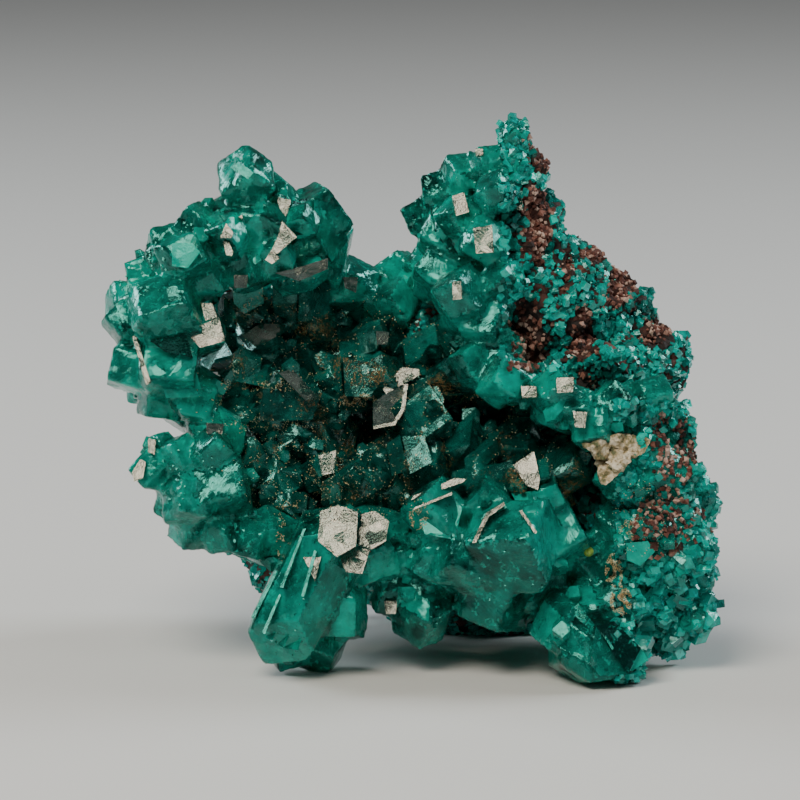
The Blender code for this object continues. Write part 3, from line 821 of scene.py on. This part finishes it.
# Where tiny faces glint: the middle and half sizes in the picture, how many, and how large.
SPARKLES = {
    "arm crest": (140, 264, 26, 38, 80, 2.0),
    "arm top": (187, 226, 20, 12, 9, 1.8),
    "knob": (247, 187, 12, 10, 6, 1.6),
    "ball": (188, 478, 32, 34, 30, 1.8),
    "ridge": (455, 225, 36, 60, 40, 1.7),
    "tip": (515, 160, 16, 38, 14, 1.6),
    "right ridge": (600, 310, 74, 76, 60, 1.2),
    "ledge": (595, 395, 74, 18, 34, 1.8),
    "flank": (690, 545, 26, 80, 50, 1.4),
    "middle foot": (420, 612, 30, 20, 10, 1.5),
    "front": (510, 560, 38, 50, 18, 1.4),
    "right foot": (600, 640, 36, 26, 10, 1.4),
    "left foot": (290, 620, 30, 40, 16, 1.4),
    "hollow": (330, 400, 105, 105, 60, 1.3),
}

# The cream crust on the right of the hollow, and the lime bead beside it.
CREAM_CRUST = {
    "left": [(584, 444), (604, 438), (612, 446), (606, 462), (597, 460)],
    "upper": [(604, 438), (625, 433), (638, 437), (630, 452), (612, 446)],
    "middle": [(612, 446), (630, 452), (632, 462), (620, 470), (606, 462)],
    "lower": [(597, 460), (606, 462), (620, 470), (612, 480), (602, 484)],
    "right": [(638, 437), (650, 440), (644, 452), (634, 458), (630, 452)],
}
LIME_BEAD = (588.5, 551.6, 0.4)

# Where gold dust lies in the hollow and beside it.
DUST = {
    "hollow": (315, 395, 120, 120, 900),
    "lower hollow": (330, 480, 95, 45, 800),
    "gold ledge low": (218, 399, 5, 8, 60),
    "gold ledge": (226, 385, 5, 8, 80),
    "gold ledge high": (234, 371, 5, 8, 60),
    "dark block edge": (268, 386, 40, 5, 220),
    "dark block foot": (268, 425, 46, 6, 260),
    "plate foot": (358, 400, 20, 7, 420),
    "column": (281, 535, 5, 26, 170),
    "column top": (290, 508, 9, 3, 120),
    "gold face": (419, 515, 10, 16, 380),
    "flank foot": (614, 572, 9, 19, 1000),
    "flank foot low": (621, 601, 11, 15, 1100),
    "flank foot high": (629, 528, 11, 11, 300),
    "flank": (640, 520, 30, 40, 300),
}

# How many gold grains are tried along the edges and creases of the hollow's crystals.
EDGE_GRAINS = 9000

# Brown patches of the rock that show among the green: middle and half sizes in the picture.
BROWN_PATCHES = {
    "top": (541, 150, 18, 26),
    "upper ridge": (536, 228, 15, 36),
    "streak": (565, 268, 8, 18),
    "dark pit": (528, 338, 20, 40),
    "middle": (582, 338, 14, 34),
    "pit foot": (589, 383, 8, 7),
    "upper right": (592, 256, 16, 11),
    "right": (620, 288, 18, 20),
    "far right": (656, 333, 22, 15),
    "flank top": (672, 462, 23, 46),
    "flank": (664, 524, 34, 34),
}


def brown_share(points):
    """How brown the rock is at these points: by the patches in front, by a slow noise behind."""
    places = picture_place(points)
    share = np.full(len(points), -1.0)
    for ellipse in BROWN_PATCHES.values():
        share = np.maximum(share, 1.0 - ellipse_reach(places, *ellipse))
    ragged = np.array([noise.noise(Vector(p) * 0.9) for p in points])
    slow = np.array([noise.noise(Vector(p) * 0.22) for p in points])
    behind = 1.5 * slow + 0.12 + 0.5 * ragged
    return np.where(points[:, 1] > PATCH_DEPTH, behind, share + 0.6 * ragged - 0.04)


# Limits of the picture, across and down: druse lies right of and over the first, right of and under
# the second, and is coarse right of and under the third.
RIDGE_LIMITS = (500, 372)
FLANK_LIMITS = (615, 400)
COARSE_LIMITS = (640, 545)


def under_right(places, limits):
    return (places[:, 0] > limits[0]) & (places[:, 1] > limits[1])


def on_ridge(points):
    """Which points lie where druse coats the crystals: on the ridge's right side and the flank."""
    places = picture_place(points)
    ridge = (places[:, 0] > RIDGE_LIMITS[0]) & (places[:, 1] < RIDGE_LIMITS[1])
    return ridge | under_right(places, FLANK_LIMITS)


def faces_of(table, kinds, mirrors, stand=1.1):
    """The crystals of a table of face outlines: those whose kinds mirror a light, or the others."""
    made = []
    for kind, outlines in table.items():
        if (kind in kinds) != mirrors:
            continue
        # The kind's tint paints its light or shade into the face's colour.
        way, tint = FACE_WAYS[kind]
        lean = 1.0 if mirrors or kind == "streak" else 0.3
        for name, outline in outlines.items():
            made.append(plate(name, outline, tint, way.normalized(), lean, stand=stand))
    return [mesh for mesh in made if mesh]


def spots_in(x, y, wide, tall, count, luck):
    """Places in an ellipse of the picture, closer together towards its middle."""
    reach = luck.uniform(size=count) ** 0.6
    angle = luck.uniform(0, 2 * math.pi, count)
    return zip(x + wide * reach * np.cos(angle), y + tall * reach * np.sin(angle))


def sparkles(names, luck):
    """Tiny flat crystals whose faces throw the main light to the camera."""
    made = []
    for name in names:
        x, y, wide, tall, count, size = SPARKLES[name]
        for spot in spots_in(x, y, wide, tall, count, luck):
            start = luck.uniform(0, 6)
            corners = luck.integers(3, 5)
            outline = []
            for n in range(corners):
                angle = start + 2 * math.pi * n / corners
                far = size * luck.uniform(0.4, 1.1)
                outline.append((spot[0] + far * math.cos(angle), spot[1] + far * math.sin(angle)))
            way = (GLINT + 0.06 * Vector(luck.uniform(-1, 1, 3))).normalized()
            made.append(plate(name, outline, float(luck.uniform()), way, 1.0, 0.03, 0.3))
    return [mesh for mesh in made if mesh]


def dust_mesh(lined, luck, material):
    """Gold grains: in the named places, and along the edges and creases of the hollow's crystals."""
    found = []
    for x, y, wide, tall, count in DUST.values():
        for spot in spots_in(x, y, wide, tall, count, luck):
            if noise.noise(Vector((*spot, 0.0)) * 0.15) > -0.05:
                found.append(surface_at(*spot))
    points, normals = crevice_points(lined, EDGE_GRAINS, luck, math.tau)
    spread = luck.normal(0, 0.08, points.shape)
    dusty = np.array([noise.noise(Vector(spot) * 0.55) for spot in points]) > 0.02
    seen = (points + spread)[dusty & (normals @ np.array(FORWARD) < 0.3)]
    found += [TREES["lining"].find_nearest(Vector(spot))[:2] for spot in seen]
    found = [hit for hit in found if hit]
    points = np.array([hit[0][:] for hit in found])
    normals = np.array([hit[1][:] for hit in found])
    sizes = 0.018 * 3.2 ** luck.uniform(size=len(points))
    return scattered("gold_dust", GRAIN_FORMS, points, normals, sizes, 0.3, 1.0, luck, material)


def cream_plate(material):
    """The cream crust: rough slabs whose faces show their outlines in the picture."""
    shape = bmesh.new()
    for name, outline in CREAM_CRUST.items():
        shape.from_mesh(plate(name, outline, 0.5, Vector((0.1, -0.85, 0.52)).normalized(), 0.6, 0.2, 1.2))
    bmesh.ops.triangulate(shape, faces=shape.faces)
    bmesh.ops.subdivide_edges(shape, edges=shape.edges, cuts=7, use_grid_fill=True)
    shape.normal_update()
    shift = [v.normal * 0.0004 * noise.fractal(v.co * 1100, 0.8, 2.1, 5) for v in shape.verts]
    for vert, move in zip(shape.verts, shift):
        vert.co += move
    mesh = bpy.data.meshes.new("cream_crust")
    shape.to_mesh(mesh)
    shape.free()
    mesh.materials.append(material)
    return placed("cream_crust", mesh)


def lime_bead():
    px, py, radius = LIME_BEAD
    point, _ = surface_at(px, py)
    bpy.ops.mesh.primitive_uv_sphere_add(segments=24, ring_count=14, radius=radius * MM)
    made = bpy.context.object
    made.name = "lime_bead"
    made.location = (point - FORWARD * 0.2) * MM
    bpy.ops.object.shade_smooth()
    made.data.materials.append(lime_material())
    return made


# The four kinds of clear green crystal. The hollow's kind is the dioptase painted darker, as the shade
# inside the hollow.
KINDS = {
    "dioptase": {
        "bright": (0.0, 0.68, 0.52), "dark": (0.0, 0.028, 0.022), "absorb": (0.0, 0.85, 0.77),
        "density": 800.0, "transmission": 0.55, "sheen": (0.25, 1.0, 0.88),
    },
    # Painted shade: the hollow's crystals are coloured darker than those outside.
    "shaded hollow dioptase": {
        "bright": (0.0, 0.32, 0.25), "dark": (0.0, 0.02, 0.017), "absorb": (0.02, 0.55, 0.47),
        "density": 500.0, "transmission": 0.6, "dust": 0.34,
    },
    "druse": {
        "bright": (0.0, 0.95, 0.78), "dark": (0.0, 0.13, 0.11), "absorb": (0.0, 0.76, 0.66),
        "density": 340.0, "transmission": 0.45, "sheen": (0.5, 1.0, 0.93),
    },
    "clear face": {
        "bright": (0.0, 0.22, 0.17), "dark": (0.0, 0.06, 0.05), "absorb": (0.0, 0.6, 0.5),
        "density": 500.0, "transmission": 0.6, "sheen": (1.0, 0.94, 0.80),
        "ribs": 0.28, "lean": 0.16,
    },
}

# How many small crystals grow in the creases, how many on the hollow's faces, small and larger ones,
# and how many points are tried on the rock and on the crystals for grains and druse.
CREASE_CRYSTALS = 260
HOLLOW_CRYSTALS = 90
HOLLOW_PRISMS = 45
ROCK_POINTS = 44000
CRYSTAL_POINTS = 34000


def polished(material):
    """The material with the bright thin coat of a face that mirrors a light."""
    shader = material.node_tree.nodes["Principled BSDF"].inputs
    shader["Coat Weight"].default_value = 0.7
    shader["Coat Roughness"].default_value = 0.04
    shader["Coat IOR"].default_value = 1.6
    shader["Coat Tint"].default_value = (1.0, 0.95, 0.84, 1.0)
    return material


def outer_crystals(material, luck):
    """The outer crystals: the worn mass, its flat faces, its glints and the crystals in its creases."""
    parts = faces_of(OUTER_FACES, OUTER_MIRRORS, False)
    parts += sparkles([name for name in SPARKLES if name != "hollow"], luck)
    creases = crevice_points(CAD["crystals"], CREASE_CRYSTALS, luck)
    parts += grown(*creases, 0.25, 0.8, 0.35, luck)
    base = rounded_mesh("crystals", seed=1, voxel=0.22, share=0.56, passes=5, rough=0.13, scale=0.6)
    return joined("outer_crystals", base, parts, material)


def hollow_lining(material, luck):
    """The hollow's crust with its flat faces, its glints and its small and larger crystals."""
    crust = CAD["cavity_crust"]
    parts = faces_of(HOLLOW_FACES, HOLLOW_MIRRORS, False, stand=2.2)
    parts += sparkles(["hollow"], luck)
    parts += grown(*crevice_points(crust, CREASE_CRYSTALS, luck), 0.25, 0.8, 0.5, luck)
    parts += grown(*random_points(crust, HOLLOW_CRYSTALS, luck), 0.3, 0.9, 0.5, luck, 1.0)
    parts += grown(*random_points(crust, HOLLOW_PRISMS, luck), 0.8, 1.4, 0.7, luck, 0.7)
    return joined("hollow_lining", base_mesh("cavity_crust", 2), parts, material)


def clear_faces(material):
    """The flat faces that mirror a light."""
    mirrors = faces_of(OUTER_FACES, OUTER_MIRRORS, True)
    mirrors += faces_of(HOLLOW_FACES, HOLLOW_MIRRORS, True)
    return joined("clear_faces", mirrors[0], mirrors[1:], material)


def broken_rock(material):
    """The rock with its surface broken up, and the same shape in triangles and millimetres."""
    shape = crumbled(CAD["matrix"], cuts=5, rough=1.2, scale=0.4, pits=0.28)
    mesh = bpy.data.meshes.new("rock")
    shape.to_mesh(mesh)
    mesh.transform(Matrix.Scale(MM, 4))
    mesh.materials.append(material)
    bmesh.ops.triangulate(shape, faces=shape.faces)
    return placed("rock", mesh), shape


def grains_and_druse(shape, rock, druse, luck):
    """Brown grains on the brown patches and small green crystals on the rest, in front and behind."""
    points, normals = random_points(shape, ROCK_POINTS, luck)
    more, their = random_points(CAD["crystals"], CRYSTAL_POINTS, luck)
    keep = on_ridge(more)
    points = np.concatenate([points, more[keep]])
    normals = np.concatenate([normals, their[keep]])
    count = len(points)
    depth = points[:, 1]
    brown = brown_share(points) + luck.normal(0, 0.10, count) > 0.0
    sizes = 0.10 * 3.2 ** luck.uniform(size=count)
    coarse = under_right(picture_place(points), COARSE_LIMITS) & (luck.uniform(size=count) < 0.25)
    sizes = np.where(coarse, 1.8 * sizes, sizes)

    def covered(name, forms, where, size, stand, tilt, material):
        chosen = points[where], normals[where], size * sizes[where]
        return scattered(name, forms, *chosen, stand, tilt, luck, material)

    few = brown & ((depth < PATCH_DEPTH) | (luck.uniform(size=count) < 0.6))
    grains = covered("rock_grains", GRAIN_FORMS, few, 1.0, 0.2, 1.2, rock)
    front = ~brown & (depth < COAT_DEPTH) & (normals @ np.array(FORWARD) < 0.2)
    front &= luck.uniform(size=count) < 0.8
    coat = covered("druse_coat", SMALL_FORMS, front, 1.2, 0.1, 0.8, druse)
    behind = ~brown & (depth >= COAT_DEPTH)
    return grains, coat, covered("back_druse", SMALL_FORMS, behind, 1.6, 0.1, 0.8, druse)


def build():
    luck = np.random.default_rng(7)
    kinds = {name: dioptase_material(name, **values) for name, values in KINDS.items()}
    rock = rock_material()
    gold = dust_material()
    crystals = outer_crystals(kinds["dioptase"], luck)
    # The hollow's lining takes the darker kind, its painted shade.
    lining = hollow_lining(kinds["shaded hollow dioptase"], luck)
    lined = merged(lining.data)
    TREES["lining"] = BVHTree.FromBMesh(lined)
    stone, shape = broken_rock(rock)
    grains, coat, back_coat = grains_and_druse(shape, rock, kinds["druse"], luck)
    faces = clear_faces(polished(kinds["clear face"]))
    cream = cream_plate(cream_material())
    bead = lime_bead()
    for piece in (crystals, coat):
        TREES[piece.name] = BVHTree.FromBMesh(merged(piece.data))
    dust = dust_mesh(lined, luck, gold)
    solid_pieces = (
        (crystals, "crystals", "dioptase"),
        (lining, "cavity_crust", "dark_dioptase"),
        (stone, "matrix", "matrix"),
    )
    for piece, name, slot in solid_pieces:
        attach(piece, "root")
        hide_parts(name)
    fine_pieces = (
        (grains, "matrix"),
        (coat, "dioptase"),
        (back_coat, "dioptase"),
        (dust, "matrix"),
        (cream, "matrix"),
        (bead, "matrix"),
        (faces, "dioptase"),
    )
    for piece, slot in fine_pieces:
        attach(piece, "root")


def area_light(name, way, wide, radiance, colour):
    """A square lamp that looks at the middle of the specimen from LAMP_DISTANCE."""
    lamp = bpy.data.lights.new(name, "AREA")
    lamp.shape = "SQUARE"
    lamp.size = wide
    lamp.energy = radiance * math.pi * wide * wide
    lamp.color = colour
    holder = placed(name, lamp)
    way = Vector(way).normalized()
    holder.location = VIEW_TARGET * MM + way * LAMP_DISTANCE
    holder.rotation_euler = way.to_track_quat("Z", "Y").to_euler()


def studio():
    scene = bpy.context.scene
    camera = bpy.data.cameras.new("camera")
    camera.sensor_width = 36.0
    camera.lens = 36.0 * VIEW_DISTANCE / PICTURE_WIDE_MM
    camera.clip_start = 0.01
    holder = placed("camera", camera)
    holder.location = EYE * MM
    holder.rotation_euler = FORWARD.to_track_quat("-Z", "Y").to_euler()
    scene.camera = holder
    world = bpy.data.worlds.new("studio")
    world.use_nodes = True
    sky = world.node_tree.nodes["Background"].inputs
    sky["Color"].default_value = (0.80, 0.83, 0.86, 1.0)
    sky["Strength"].default_value = 0.12
    scene.world = world
    area_light("main light", KEY_WAY, 0.24, 12.5, (1.0, 0.91, 0.78))
    area_light("fill light", FILL_WAY, 0.16, 1.5, (0.95, 0.98, 1.0))
    area_light("right light", (0.85, 0.3, 0.5), 0.2, 14.0, (0.9, 0.97, 1.0))
    area_light("left light", (-0.85, 0.35, 0.4), 0.2, 14.0, (0.9, 0.97, 1.0))
    bpy.ops.mesh.primitive_plane_add(size=4.0)
    floor = bpy.context.object
    floor.name = "floor"
    material, tree, shader = new_material("pale floor")
    shader.inputs["Base Color"].default_value = (0.72, 0.72, 0.71, 1.0)
    shader.inputs["Roughness"].default_value = 0.45
    floor.data.materials.append(material)


build()
studio()
